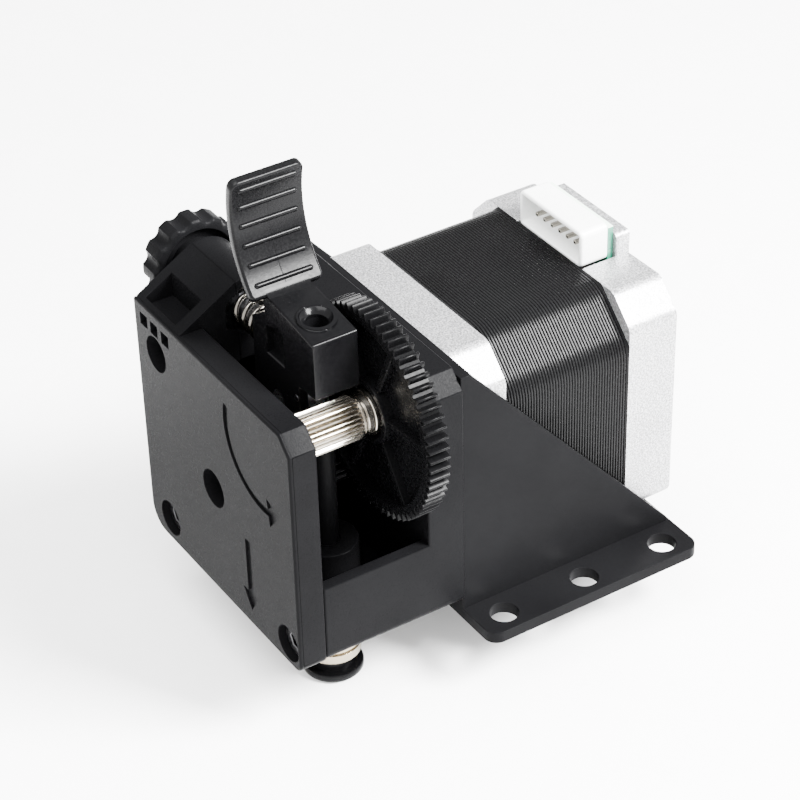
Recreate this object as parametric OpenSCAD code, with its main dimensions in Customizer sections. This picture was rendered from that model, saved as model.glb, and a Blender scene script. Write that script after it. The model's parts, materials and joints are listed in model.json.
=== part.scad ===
// Geared filament extruder with stepper motor and mounting bracket.
// Millimetres, +Z up, the cover faces -Y, the motor's rear end faces +Y.
// Origin: centre of the bracket's six foot holes, on the underside of the foot.

/* [Gears] */
// Gear module
gear_module = 0.5; // [0.5:0.05:0.55]
// Teeth on the moulded gear
gear_teeth = 66; // [60:1:66]
// Teeth on the motor pinion
pinion_teeth = 22; // [20:1:22]
// Direction from the motor axis to the hob axis, in degrees above +X
hob_angle = 46; // [45:0.5:48]

/* [Filament] */
// Filament diameter
filament_d = 1.75; // [1.75]
// Outer diameter of the guide tube that plugs into the outlet
tube_d = 4; // [4]
// Depth of the filament path behind the cover's front face
path_y = 12.8; // [12.6:0.1:13]
// Hob diameter over the teeth
hob_d = 7; // [6.8:0.1:7]

/* [Housing] */
// Thickness of the front cover
cover_t = 4.6; // [4.4:0.1:4.8]
// Front face of the housing's rear wall
wall_y = 22.9; // [22.8:0.1:23]
// Rear face of the housing
housing_y = 29.2; // [29.2:0.1:29.4]
// Width of the tension spring's tower
tower_w = 13.4; // [13:0.1:13.6]

/* [Bracket] */
// Sheet thickness of the bracket's front plate
bracket_t = 1.9; // [1.8:0.05:1.9]
// Length of the foot plate
foot_l = 39.6; // [39.6:0.1:40]
// Width of the foot plate
foot_w = 61.8; // [61:0.1:62]
// Distance between neighbouring foot holes along the foot
foot_pitch = 15.05; // [15:0.05:15.1]
// Foot hole diameter
foot_hole_d = 4.5; // [4.3:0.1:4.6]

/* [Motor] */
// Side of the square motor
motor_w = 42.3; // [42:0.1:42.4]
// Length of the front cap
front_cap_l = 7.3; // [7.2:0.1:7.4]
// Length of the lamination stack
stack_l = 22.6; // [22.4:0.2:22.8]
// Length of the rear cap
rear_cap_l = 8.9; // [8.8:0.1:9]
// Spacing of the square of screws
screw_square = 31; // [31]

/* [Hidden] */
$fn = 48;
eps = 0.05;

// Colours
black_plastic = [0.13, 0.13, 0.14];
steel = [0.75, 0.75, 0.77];
nickel = [0.86, 0.84, 0.80];
cast_aluminium = [0.80, 0.80, 0.81];
lamination = [0.18, 0.18, 0.19];
copper = [0.72, 0.38, 0.20];
white_nylon = [0.95, 0.95, 0.93];
board_green = [0.10, 0.42, 0.30];
magnet_grey = [0.35, 0.35, 0.37];
brass = [0.80, 0.70, 0.50];

// Gear train
centre_distance = gear_module * (gear_teeth + pinion_teeth) / 2;
hob_x = centre_distance * cos(hob_angle);
hob_z = centre_distance * sin(hob_angle);
pressure_angle = 20;
tooth_addendum = 0.95 * gear_module;
tooth_dedendum = 1.25 * gear_module;
// Half of the backlash that each gear gives up, along the pitch circle
tooth_thinning = 0.05;
gear_y0 = 17.9;
gear_y1 = 21.3;
gear_web_y0 = 19.6;
pinion_y0 = 17.4;
pinion_hub_y0 = 21.8;
pinion_y1 = 27.9;
pinion_hub_r = 6;
grub_y = 24.9;
m3_r = 1.5;

// Stations along the motor axis
plate_y1 = housing_y + bracket_t;
stack_y0 = plate_y1 + front_cap_l;
stack_y1 = stack_y0 + stack_l;
motor_y1 = stack_y1 + rear_cap_l;
shaft_r = 2.5;
shaft_y0 = 7.1;
half_motor = motor_w / 2;
half_square = screw_square / 2;

// Foot
foot_t = 2;
foot_top = -half_motor - 0.15;
axis_height = foot_t - foot_top;
foot_hole_x = 27.05;
foot_mid_y = 49;
foot_y1 = housing_y + foot_l;

// Cover and housing outline, from the motor axis
left_x = -21.8;
right_x = 23.6;
cover_z0 = -19.8;
housing_z0 = -19.5;
top_z = 22.4;
corner_cut = 2.7;
skin = 2;
sill_z = -5.8;
cover_screw_x = 20.4;
cover_screw_z = -15.9;
counterbore_r = 3;
screw_head_r = 2.75;
screw_head_h = 2;
clearance_r = 1.7;
shallow_seat_y = 3.2;
deep_seat_y = 7.2;
arrow_depth = 0.4;

// Idler
pivot_boss_r = 4.6;
pivot_bore_r = 3.15;
pivot_boss_y1 = 16.9;
arm_y0 = path_y - 3.7;
arm_y1 = path_y + 3.7;
idler_r = 5;
idler_w = 4;
idler_gap = 1.55;
path_x = hob_x - hob_d / 2 - filament_d / 2 + 0.1;
idler_x = hob_x - hob_d / 2 - idler_gap - idler_r;
idler_z = hob_z;
axle_r = 1.5;
inlet_r = 1.65;
cheek_pin_r = 0.55;
cheek_pin_x = 10.6;
cheek_pin_z = 19;
pad_cx = 15.1;
pad_cz = 44.4;
pad_r = 16.6;
pad_t = 1.6;
pad_w = 12;
pad_top_angle = 162;
pad_end_angle = 225.5;

// Tension gear
spring_y = 12.4;
spring_z = 22.9;
barrel_r = 5.6;
tower_x1 = left_x + tower_w;
tower_seam_y = 10.4;
nut_flats = 7.4;
nut_slot_flats = 7.8;
nut_x0 = -12;
nut_x1 = -9.4;
spring_r = 2.4;
spring_wire_r = 0.42;
spring_socket_r = 2.95;
socket_floor = 2;
spring_x0 = nut_x1 + 0.05;
spring_x1 = 1.9;
spring_turns = 5;
knob_x0 = -27.7;
knob_x1 = -23.3;
knob_r = 7.7;
screw_x1 = -5;

// Outlet
fitting_r = 4.5;
fitting_z0 = -29.3;
collet_z0 = -32.7;
collet_rim_z = -31.35;
collet_rim_r = 4.8;
collet_bore_r = 3.5;
spigot_r = 3.7;
spigot_z1 = -15.5;
guide_r = 1.85;
guide_flange_r = 2.6;
guide_boss_z = -7.8;
filament_bore_r = filament_d / 2 + 0.175;
tube_seat_r = tube_d / 2 + 0.05;

// Connector
board_y0 = stack_y1 + 4.7;
board_y1 = stack_y1 + 6.3;
connector_half = 7.8;
pin_pitch = 2;
pin_z = 23.6;
pin_half = 0.32;

// ---- Helpers, in the frame whose origin is the motor axis at the cover's front face ----

module at_axis() {
  translate([0, -foot_mid_y, axis_height]) children();
}

// Cylinder along Y
module rod_y(r, y0, y1, x = 0, z = 0) {
  translate([x, y0, z]) rotate([-90, 0, 0]) cylinder(r = r, h = y1 - y0);
}

// Cylinder along X
module rod_x(r, x0, x1, y, z) {
  translate([x0, y, z]) rotate([0, 90, 0]) cylinder(r = r, h = x1 - x0);
}

// Cylinder along Z
module rod_z(r, z0, z1, x, y) {
  translate([x, y, z0]) cylinder(r = r, h = z1 - z0);
}

// Cone along Y, from r0 at y0 to r1 at y1
module cone_y(r0, r1, y0, y1, x = 0, z = 0) {
  translate([x, y0, z]) rotate([-90, 0, 0]) cylinder(r1 = r0, r2 = r1, h = y1 - y0);
}

// Ring along Y
module ring_y(r_in, r_out, y0, y1, x = 0, z = 0) {
  difference() {
    rod_y(r_out, y0, y1, x, z);
    rod_y(r_in, y0 - eps, y1 + eps, x, z);
  }
}

// Extrudes an XZ outline along Y
module slab_y(y0, y1) {
  translate([0, y1, 0]) rotate([90, 0, 0]) linear_extrude(y1 - y0) children();
}

// Extrudes a YZ outline along X
module slab_x(x0, x1) {
  translate([x0, 0, 0]) rotate([90, 0, 90]) linear_extrude(x1 - x0) children();
}

module block(x0, x1, y0, y1, z0, z1) {
  translate([x0, y0, z0]) cube([x1 - x0, y1 - y0, z1 - z0]);
}

// Hexagonal prism along X, given its width across flats
module hex_x(flats, x0, x1, y, z) {
  translate([x0, y, z]) rotate([0, 90, 0]) cylinder(r = flats / sqrt(3), h = x1 - x0, $fn = 6);
}

// Places children at the corners of the motor's screw square
module at_corners() {
  for (x = [-half_square, half_square])
    for (z = [-half_square, half_square])
      translate([x, 0, z]) children();
}

// Radius on an involute of base radius rb as an angle, in degrees
function involute(rb, r) = tan(acos(min(1, rb / r))) * 180 / PI - acos(min(1, rb / r));

// Half of a tooth's angle at radius r
function tooth_half(teeth, r) =
  let (rp = gear_module * teeth / 2, rb = rp * cos(pressure_angle))
  90 / teeth - tooth_thinning / rp * 180 / PI + involute(rb, rp) - involute(rb, max(r, rb));

// Outline of a spur gear with one tooth centred on angle a0
function gear_points(teeth, a0) =
  let (rp = gear_module * teeth / 2,
       flank = 0.3 * gear_module,
       radii = [rp - tooth_dedendum, rp - flank, rp + flank, rp + tooth_addendum])
  [for (i = [0:teeth - 1], k = [0:7])
    let (j = k < 4 ? k : 7 - k,
         side = k < 4 ? -1 : 1,
         a = a0 + 360 * i / teeth + side * tooth_half(teeth, radii[j]))
    radii[j] * [cos(a), sin(a)]];

// Outline of a ring of straight square teeth
function spline_points(teeth, r_root, r_tip, a0 = 0) =
  [for (i = [0:teeth - 1], k = [0:3])
    let (a = a0 + 360 / teeth * (i + [-0.4, -0.18, 0.18, 0.4][k]),
         r = (k == 0 || k == 3) ? r_root : r_tip)
    r * [cos(a), sin(a)]];

// Square with four cut corners, centred
module cut_square(side, cut) {
  h = side / 2;
  polygon([[-h, -h + cut], [-h + cut, -h], [h - cut, -h], [h, -h + cut],
           [h, h - cut], [h - cut, h], [-h + cut, h], [-h, h - cut]]);
}

// Ball bearing as a closed solid with a groove between its races on both faces
module ball_bearing(bore_r, outer_r, y0, y1, x = 0, z = 0) {
  mid_r = (bore_r + outer_r) / 2;
  groove = (outer_r - bore_r) / 4;
  depth = 0.25;
  difference() {
    ring_y(bore_r, outer_r, y0, y1, x, z);
    ring_y(mid_r - groove, mid_r + groove, y0 - eps, y0 + depth, x, z);
    ring_y(mid_r - groove, mid_r + groove, y1 - depth, y1 + eps, x, z);
  }
}

// Low-head socket screw along Y: its head starts at seat - head height and its tip is at tip
module socket_screw(seat, tip, x, z) {
  difference() {
    union() {
      rod_y(screw_head_r, seat - screw_head_h, seat, x, z);
      rod_y(m3_r, seat - eps, tip - 0.4, x, z);
      cone_y(m3_r, m3_r - 0.4, tip - 0.4, tip, x, z);
    }
    translate([x, seat - screw_head_h - eps, z])
      rotate([-90, 0, 0]) cylinder(r = 1.45, h = 1.3, $fn = 6);
  }
}

// ---- Bracket ----

module foot_outline() {
  corner = 2.2;
  union() {
    translate([-foot_w / 2 + corner, housing_y]) square([foot_w - 2 * corner, foot_l]);
    translate([-foot_w / 2, housing_y + corner]) square([foot_w, foot_l - 2 * corner]);
    for (x = [-1, 1])
      for (y = [housing_y + corner, foot_y1 - corner])
        translate([x * (foot_w / 2 - corner), y]) circle(r = corner);
  }
}

module mounting_bracket() {
  gusset_x0 = half_motor + 0.3;
  gusset_x1 = gusset_x0 + 1.5;
  plate_top = 21.5;
  color(black_plastic) at_axis() difference() {
    union() {
      translate([0, 0, foot_top - foot_t]) linear_extrude(foot_t) foot_outline();
      block(-gusset_x1, gusset_x1, housing_y, plate_y1, foot_top - eps, plate_top);
      for (side = [0, 1]) mirror([side, 0, 0])
        slab_x(gusset_x0, gusset_x1)
          polygon([[housing_y, foot_top - eps], [foot_y1 - 0.6, foot_top - eps],
                   [foot_y1 - 0.6, foot_top + 0.7], [plate_y1 - 0.2, plate_top],
                   [housing_y, plate_top]]);
    }
    rod_y(11.15, housing_y - eps, plate_y1 + eps);
    at_corners() rod_y(clearance_r, housing_y - eps, plate_y1 + eps);
    for (x = [-foot_hole_x, foot_hole_x])
      for (i = [-1:1])
        rod_z(foot_hole_d / 2, foot_top - foot_t - eps, foot_top + eps, x, foot_mid_y + i * foot_pitch);
  }
}

// ---- Housing and cover ----

// Outline of the cover and of the housing's rear wall
module face_outline(z0) {
  big = 4;
  small = 1.5;
  union() {
    polygon([[left_x, z0 + big], [left_x + big, z0], [right_x - small, z0], [right_x, z0 + small],
             [right_x, top_z - corner_cut], [right_x - corner_cut, top_z], [left_x, top_z]]);
    translate([left_x + big, z0 + big]) circle(r = big);
    translate([right_x - small, z0 + small]) circle(r = small);
  }
}

// Side view of the cover's sloping shoulder in front of the spring barrel
module shoulder_outline() {
  slope_y = spring_y - barrel_r * sin(29);
  slope_z = spring_z + barrel_r * cos(29);
  polygon([[0, top_z - 8], [0, top_z - eps], [0.5, top_z], [slope_y, slope_z],
           [tower_seam_y, slope_z + 0.48], [tower_seam_y, top_z - 8]]);
}

module nut_slot() {
  hex_x(nut_slot_flats, left_x + skin, tower_x1 + eps, spring_y, spring_z);
}

// Arrow curving round the hob's axis, the way the gear turns
module curved_arrow() {
  r_mid = 9.9;
  half = 0.6;
  barb = 2.4;
  from = 164;
  to = 278;
  head = 20;
  steps = 18;
  step = (to - from) / steps;
  translate([hob_x, hob_z]) polygon(concat(
    [for (i = [0:steps]) (r_mid + half) * [cos(from + step * i), sin(from + step * i)]],
    [(r_mid + barb) * [cos(to), sin(to)],
     r_mid * [cos(to + head), sin(to + head)],
     (r_mid - barb) * [cos(to), sin(to)]],
    [for (i = [steps:-1:0]) (r_mid - half) * [cos(from + step * i), sin(from + step * i)]]));
}

// Straight arrow along the filament's way out
module down_arrow() {
  half = 0.75;
  barb = 2.2;
  top = -3.6;
  neck = -13.5;
  tip = -16.9;
  translate([9.65, 0])
    polygon([[-half, top], [half, top], [half, neck], [barb, neck],
             [0, tip], [-barb, neck], [-half, neck]]);
}

module front_cover() {
  rim = 2;
  window = 2.25;
  color(black_plastic) at_axis() difference() {
    union() {
      difference() {
        slab_y(0, cover_t) face_outline(cover_z0);
        slab_y(rim, cover_t + eps) polygon([
          [left_x + rim, cover_z0 + rim + 2], [left_x + rim + 2, cover_z0 + rim],
          [right_x - rim, cover_z0 + rim], [right_x - rim, top_z - rim - corner_cut],
          [right_x - rim - corner_cut, top_z - rim], [left_x + rim, top_z - rim]]);
      }
      // Shoulder in front of the spring barrel
      slab_x(left_x, tower_x1) shoulder_outline();
      // Screw bosses
      rod_y(4, rim - eps, tower_seam_y, -half_square, half_square);
      rod_y(4, rim - eps, cover_t, -half_square, -half_square);
      intersection() {
        rod_y(4.2, rim - eps, cover_t, cover_screw_x, cover_screw_z);
        slab_y(0, cover_t) face_outline(cover_z0);
      }
      // Pivot boss for the idler and seat for the hob's front bearing
      rod_y(pivot_boss_r, rim - eps, pivot_boss_y1);
      rod_y(5.6, rim - eps, cover_t + 0.5, hob_x, hob_z);
    }
    // Pocket and its three windows
    block(-20, -10.8, 1.3, 5.9, 21.5, 30);
    for (x = [-18.75, -15.55, -12.2])
      block(x - window / 2, x + window / 2, -eps, rim + eps, 18.8, 20.95);
    nut_slot();
    rod_y(pivot_bore_r, -eps, pivot_boss_y1 + eps);
    rod_y(4, rim, cover_t + 1, hob_x, hob_z);
    rod_y(counterbore_r, -eps, deep_seat_y, -half_square, half_square);
    rod_y(clearance_r, 0, tower_seam_y + eps, -half_square, half_square);
    for (p = [[-half_square, -half_square], [cover_screw_x, cover_screw_z]]) {
      rod_y(counterbore_r, -eps, shallow_seat_y, p[0], p[1]);
      rod_y(clearance_r, 0, cover_t + eps, p[0], p[1]);
    }
    // Shallow direction arrows
    slab_y(-eps, arrow_depth) curved_arrow();
    slab_y(-eps, arrow_depth) down_arrow();
  }
}

module body_housing() {
  color(black_plastic) at_axis() difference() {
    union() {
      slab_y(wall_y, housing_y) face_outline(housing_z0);
      // Floor, closed left wall and low right wall
      block(left_x + 3.9, right_x - 1.4, cover_t, wall_y + eps, housing_z0, housing_z0 + skin);
      block(left_x, left_x + skin, cover_t, wall_y + eps, housing_z0 + 3.9, top_z - 8);
      intersection() {
        union() {
          block(left_x, left_x + 6, cover_t, wall_y + eps, housing_z0, housing_z0 + 5);
          block(right_x - 4, right_x, cover_t, wall_y + eps, housing_z0, housing_z0 + 4);
        }
        slab_y(cover_t, housing_y) face_outline(housing_z0);
      }
      block(right_x - skin, right_x, cover_t, wall_y + eps, housing_z0 + 1.4, sill_z);
      // Screw columns
      rod_y(4, tower_seam_y + eps, wall_y + eps, -half_square, half_square);
      rod_y(4, cover_t + eps, wall_y + eps, -half_square, -half_square);
      rod_y(3.1, cover_t + eps, wall_y + eps, cover_screw_x, cover_screw_z);
      // Spring tower behind the cover's shoulder
      block(left_x, tower_x1, tower_seam_y + eps, 18, top_z - 8, spring_z);
      block(left_x, left_x + skin, tower_seam_y + eps, wall_y + eps, top_z - 8, spring_z);
      intersection() {
        rod_x(barrel_r, left_x, tower_x1, spring_y, spring_z);
        block(left_x - 1, tower_x1 + 1, tower_seam_y + eps, 20, spring_z - eps, spring_z + 8);
      }
      // Boss around the outlet fitting's thread
      rod_z(4.8, housing_z0, guide_boss_z, path_x, path_y);
    }
    nut_slot();
    rod_x(1.65, left_x - eps, left_x + skin + 1, spring_y, spring_z);
    // Pinion and bearing openings in the rear wall
    rod_y(7.5, wall_y - eps, housing_y + eps);
    rod_y(4, wall_y - eps, 26.5, hob_x, hob_z);
    rod_y(3, wall_y, 27.3, hob_x, hob_z);
    // Motor screws
    for (z = [-half_square, half_square])
      rod_y(clearance_r, cover_t, housing_y + eps, -half_square, z);
    rod_y(clearance_r, wall_y - eps, housing_y + eps, half_square, -half_square);
    rod_y(counterbore_r, wall_y - eps, 25.4, half_square, -half_square);
    rod_y(m3_r + 0.02, cover_t, 21.5, cover_screw_x, cover_screw_z);
    // Filament guide and outlet fitting
    rod_z(guide_r, housing_z0 - eps, guide_boss_z + eps, path_x, path_y);
    rod_z(guide_flange_r + 0.1, housing_z0 - eps, -14.3, path_x, path_y);
    rod_z(spigot_r + 0.02, housing_z0 - eps, spigot_z1 + eps, path_x, path_y);
  }
}

module filament_guide() {
  guide_z1 = 12.2;
  color(black_plastic) at_axis() difference() {
    union() {
      rod_z(guide_r - 0.05, spigot_z1 + eps, guide_z1, path_x, path_y);
      rod_z(guide_flange_r, spigot_z1 + eps, -14.4, path_x, path_y);
    }
    rod_z(filament_bore_r, spigot_z1, guide_z1 + 1, path_x, path_y);
    // Clear of the hob and of the idler bearing
    rod_y(hob_d / 2 + 0.4, 0, 22, hob_x, hob_z);
    rod_y(idler_r + 0.8, 0, 22, idler_x + 1, idler_z);
  }
}

module outlet_fitting() {
  color(brass) at_axis() difference() {
    union() {
      rod_z(fitting_r, fitting_z0, housing_z0 - 0.05, path_x, path_y);
      rod_z(spigot_r, housing_z0 - 0.1, spigot_z1, path_x, path_y);
    }
    rod_z(collet_bore_r, fitting_z0 - eps, -23.4, path_x, path_y);
    rod_z(tube_seat_r, -24, -17, path_x, path_y);
    rod_z(filament_bore_r, -24, spigot_z1 + 1, path_x, path_y);
    // Groove round the lower end
    difference() {
      rod_z(fitting_r + 1, -27.6, -27.1, path_x, path_y);
      rod_z(fitting_r - 0.35, -27.7, -27, path_x, path_y);
    }
  }
}

module release_collet() {
  color(black_plastic) at_axis() difference() {
    union() {
      rod_z(collet_rim_r, collet_z0, collet_rim_z, path_x, path_y);
      rod_z(collet_bore_r - 0.08, collet_rim_z - eps, -24.4, path_x, path_y);
    }
    rod_z(tube_seat_r, collet_z0 - eps, -24, path_x, path_y);
  }
}

// Two long screws through the cover and housing into the motor, and one into the housing
module cover_screws() {
  color(steel) at_axis() {
    socket_screw(deep_seat_y, 34.2, -half_square, half_square);
    socket_screw(shallow_seat_y, 34.2, -half_square, -half_square);
    socket_screw(shallow_seat_y, 21.2, cover_screw_x, cover_screw_z);
  }
}

module housing_screws() {
  color(steel) at_axis() socket_screw(25.4, 34.2, half_square, -half_square);
}

// ---- Drive ----

module hob_front_bearing() {
  color(steel) at_axis() ball_bearing(shaft_r + 0.03, 4, 2.05, 4.55, hob_x, hob_z);
}

module hob_rear_bearing() {
  color(steel) at_axis() ball_bearing(shaft_r + 0.03, 4, 24, 26.5, hob_x, hob_z);
}

module hob_shaft() {
  hob_teeth = 28;
  seat_r = 3.4;
  color(nickel) at_axis() {
    rod_y(shaft_r, 2.3, 5.4, hob_x, hob_z);
    translate([hob_x, 0, hob_z]) slab_y(5.3, 17)
      polygon(spline_points(hob_teeth, hob_d / 2 - 0.3, hob_d / 2));
    rod_y(3.05, 16.9, 17.5, hob_x, hob_z);
    rod_y(3.45, 17.4, 18.5, hob_x, hob_z);
    rod_y(3.1, 18.4, 19, hob_x, hob_z);
    rod_y(seat_r, 18.9, gear_y1 + 0.1, hob_x, hob_z);
    rod_y(shaft_r, gear_y1, 26.6, hob_x, hob_z);
  }
}

module driven_gear() {
  rim_r = 14.7;
  hub_r = 5;
  spokes = 6;
  spoke_w = 1.1;
  color(black_plastic) at_axis() difference() {
    union() {
      difference() {
        translate([hob_x, 0, hob_z]) slab_y(gear_y0, gear_y1)
          polygon(gear_points(gear_teeth, hob_angle + 180));
        ring_y(hub_r, rim_r, gear_y0 - eps, gear_web_y0, hob_x, hob_z);
      }
      translate([hob_x, 0, hob_z])
        for (i = [0:spokes - 1])
          rotate([0, -360 / spokes * i - 5, 0])
            block(hub_r - 0.3, rim_r + 0.3, gear_y0 + 0.5, gear_web_y0 + eps, -spoke_w / 2, spoke_w / 2);
    }
    rod_y(3.4, gear_y0 - eps, gear_y1 + eps, hob_x, hob_z);
    cone_y(4.1, 3.6, gear_y0 - eps, 18.9, hob_x, hob_z);
  }
}

// ---- Idler ----

// Rounded outline of the thumb pad seen along X
module pad_mask() {
  corner = 1.8;
  z0 = 30.8;
  z1 = 50.4;
  y0 = path_y - pad_w / 2;
  union() {
    translate([y0 + corner, z0]) square([pad_w - 2 * corner, z1 - z0]);
    translate([y0, z0]) square([pad_w, z1 - z0 - corner]);
    for (y = [y0 + corner, y0 + pad_w - corner])
      translate([y, z1 - corner]) circle(r = corner);
  }
}

module pad_arc(r) {
  translate([pad_cx, pad_cz]) circle(r = r, $fn = 96);
}

module pad_wedge() {
  far = 40;
  translate([pad_cx, pad_cz])
    polygon([[0, 0], far * [cos(pad_top_angle), sin(pad_top_angle)], [-far, 0],
             far * [cos(pad_end_angle), sin(pad_end_angle)]]);
}

module thumb_pad() {
  ribs = 6;
  rib_step = 10.3;
  rib_r = 0.45;
  intersection() {
    slab_y(path_y - pad_w / 2, path_y + pad_w / 2) intersection() {
      difference() {
        pad_arc(pad_r + pad_t);
        pad_arc(pad_r);
      }
      pad_wedge();
    }
    slab_x(-12, 12) pad_mask();
  }
  for (i = [0:ribs - 1]) {
    a = pad_top_angle + 5.5 + rib_step * i;
    rod_y(rib_r, path_y - 4.9, path_y + 4.9,
          pad_cx + (pad_r + 0.05) * cos(a), pad_cz + (pad_r + 0.05) * sin(a));
  }
}

module idler_arm() {
  slot_w = 4.4;
  color(black_plastic) at_axis() difference() {
    union() {
      slab_y(arm_y0, arm_y1) union() {
        circle(r = 7);
        polygon([[-5.4, 4.4], [-1.5, 13], [-1.4, 26.9], [2.4, 29.4], [2.4, 32.45], [3.3, 32.45],
                 [16, 30.95], [16, 21.4], [11.3, 21.4], [11.3, 17.4], [9.6, 14.2], [7.4, 12], [5.6, 4.2]]);
      }
      thumb_pad();
      // Raised ring round the filament inlet
      translate([path_x, path_y, 31.2]) rotate([0, 6.7, 0]) cylinder(r = 2.95, h = 0.65);
    }
    // Socket for the spring, with a stub that centres it
    difference() {
      rod_x(spring_socket_r, -2, socket_floor, spring_y, spring_z);
      rod_x(1.8, 0.8, socket_floor + eps, spring_y, spring_z);
    }
    // Recess in the face toward the cover
    slab_y(arm_y0 - eps, arm_y0 + 1.2)
      polygon([[2.6, 22.6], [7.4, 22.6], [7.4, 27.8], [6.5, 28.7], [2.6, 27.2]]);
    rod_y(cheek_pin_r, arm_y0 - eps, arm_y0 + 1.6, cheek_pin_x, cheek_pin_z);
    rod_y(pivot_boss_r + 0.08, arm_y0 - eps, arm_y1 + eps);
    // Fork for the idler bearing, open toward the hob
    slab_y(path_y - slot_w / 2, path_y + slot_w / 2) union() {
      translate([idler_x, idler_z]) circle(r = idler_r + 0.7);
      translate([idler_x, idler_z - idler_r - 0.7]) square([8, 2 * (idler_r + 0.7)]);
    }
    rod_y(axle_r, arm_y0 - eps, arm_y1 + eps, idler_x, idler_z);
    // Filament inlet: funnel, wide bore and through bore
    translate([path_x, path_y, 30.4]) cylinder(r1 = inlet_r, r2 = 2.84, h = 2);
    rod_z(inlet_r, 25.6, 31, path_x, path_y);
    rod_z(filament_bore_r, 20, 26, path_x, path_y);
  }
}

module idler_axle() {
  color(steel) at_axis() rod_y(axle_r, arm_y0 + 0.1, arm_y1 - 0.1, idler_x, idler_z);
}

module cheek_pin() {
  color(steel) at_axis() rod_y(cheek_pin_r, arm_y0 - 0.15, arm_y0 + 1.6, cheek_pin_x, cheek_pin_z);
}

module idler_bearing() {
  color(steel) at_axis()
    ball_bearing(axle_r + 0.03, idler_r, path_y - idler_w / 2, path_y + idler_w / 2, idler_x, idler_z);
}

// ---- Spring tension ----

module tension_knob() {
  lobes = 12;
  scallop_r = 1.5;
  scallop_at = knob_r + 0.9;
  color(black_plastic) at_axis() difference() {
    union() {
      rod_x(knob_r, knob_x0, knob_x1, spring_y, spring_z);
      rod_x(4, knob_x1 - eps, left_x - 0.15, spring_y, spring_z);
    }
    for (i = [0:lobes - 1]) {
      a = 360 / lobes * (i + 0.5);
      rod_x(scallop_r, knob_x0 - eps, knob_x1 + eps,
            spring_y + scallop_at * cos(a), spring_z + scallop_at * sin(a));
    }
    rod_x(m3_r, knob_x0 + 1, left_x, spring_y, spring_z);
    ring_pocket();
  }
}

// Recess in the knob's face toward the housing
module ring_pocket() {
  difference() {
    rod_x(6, knob_x1 - 1.4, knob_x1 + eps, spring_y, spring_z);
    rod_x(4, knob_x1 - 1.5, knob_x1 + 1, spring_y, spring_z);
  }
}

module tension_screw() {
  color(steel) at_axis() rod_x(m3_r, knob_x0 + 1, screw_x1, spring_y, spring_z);
}

// Ring that holds the screw against the inside of the tower's end wall
module thrust_ring() {
  ring_x0 = left_x + skin + 0.1;
  color(steel) at_axis() difference() {
    rod_x(3, ring_x0, ring_x0 + 0.8, spring_y, spring_z);
    rod_x(m3_r, ring_x0 - eps, ring_x0 + 1, spring_y, spring_z);
  }
}

module tension_nut() {
  color(steel) at_axis() difference() {
    hex_x(nut_flats, nut_x0, nut_x1, spring_y, spring_z);
    rod_x(m3_r + 0.08, nut_x0 - eps, nut_x1 + eps, spring_y, spring_z);
  }
}

// Points of the spring's centre line
function spring_point(t) =
  let (a = 360 * spring_turns * t)
  [spring_x0 + spring_wire_r + (spring_x1 - spring_x0 - 2 * spring_wire_r) * t,
   spring_y + spring_r * cos(a), spring_z + spring_r * sin(a)];

module tension_spring() {
  rings = 14 * spring_turns;
  sides = 8;
  pts = [for (i = [0:rings])
    let (t = i / rings, a = 360 * spring_turns * t, c = spring_point(t))
    for (k = [0:sides - 1])
      let (b = 360 / sides * k)
      c + spring_wire_r * [sin(b), cos(b) * cos(a), cos(b) * sin(a)]];
  quads = [for (i = [0:rings - 1], k = [0:sides - 1])
    let (n = (k + 1) % sides)
    [i * sides + k, i * sides + n, (i + 1) * sides + n, (i + 1) * sides + k]];
  caps = [[for (k = [sides - 1:-1:0]) k], [for (k = [0:sides - 1]) rings * sides + k]];
  color(nickel) at_axis() polyhedron(points = pts, faces = concat(quads, caps));
}

// ---- Motor ----

module pinion_gear() {
  color(steel) at_axis() difference() {
    union() {
      slab_y(pinion_y0, pinion_hub_y0 + eps)
        polygon(gear_points(pinion_teeth, hob_angle + 180 / pinion_teeth));
      rod_y(pinion_hub_r, pinion_hub_y0, pinion_y1);
    }
    rod_y(shaft_r, pinion_y0 - eps, pinion_y1 + eps);
    rod_z(m3_r, 1, pinion_hub_r + 1, 0, grub_y);
  }
}

module pinion_grub_screw() {
  color(lamination) at_axis() difference() {
    rod_z(m3_r, 2.05, 5.6, 0, grub_y);
    translate([0, grub_y, 4]) cylinder(r = 0.85, h = 2, $fn = 6);
  }
}

module motor_shaft() {
  color(steel) at_axis() difference() {
    rod_y(shaft_r, shaft_y0, 67.4);
    block(-3, 3, shaft_y0 - 1, 27.6, shaft_r - 0.5, 4);
  }
}

module rotor_cup(y0, y1, a0) {
  teeth = 50;
  difference() {
    slab_y(y0, y1) polygon(spline_points(teeth, 10.6, 11, a0));
    rod_y(shaft_r, y0 - eps, y1 + eps);
  }
}

module rotor_front_cup() {
  color(steel) at_axis() rotor_cup(40.4, 48.9, 0);
}

module rotor_magnet() {
  color(magnet_grey) at_axis() ring_y(shaft_r, 9.6, 48.9, 50.3);
}

module rotor_rear_cup() {
  color(steel) at_axis() rotor_cup(50.3, 58.8, 3.6);
}

module motor_front_cap() {
  pilot_r = 11;
  color(cast_aluminium) at_axis() difference() {
    union() {
      slab_y(plate_y1, stack_y0) cut_square(motor_w, 4.8);
      rod_y(pilot_r, housing_y + 0.1, plate_y1 + eps);
    }
    rod_y(shaft_r + 1, housing_y, plate_y1 + 2);
    ring_y(10, 18.2, plate_y1 + 4.1, stack_y0 + eps);
    rod_y(10.1, plate_y1 + 5.6, stack_y0 + eps);
    rod_y(7, plate_y1 + 1.5, stack_y0 + eps);
    at_corners() rod_y(m3_r + 0.02, plate_y1 - eps, stack_y0 + eps);
  }
}

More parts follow.
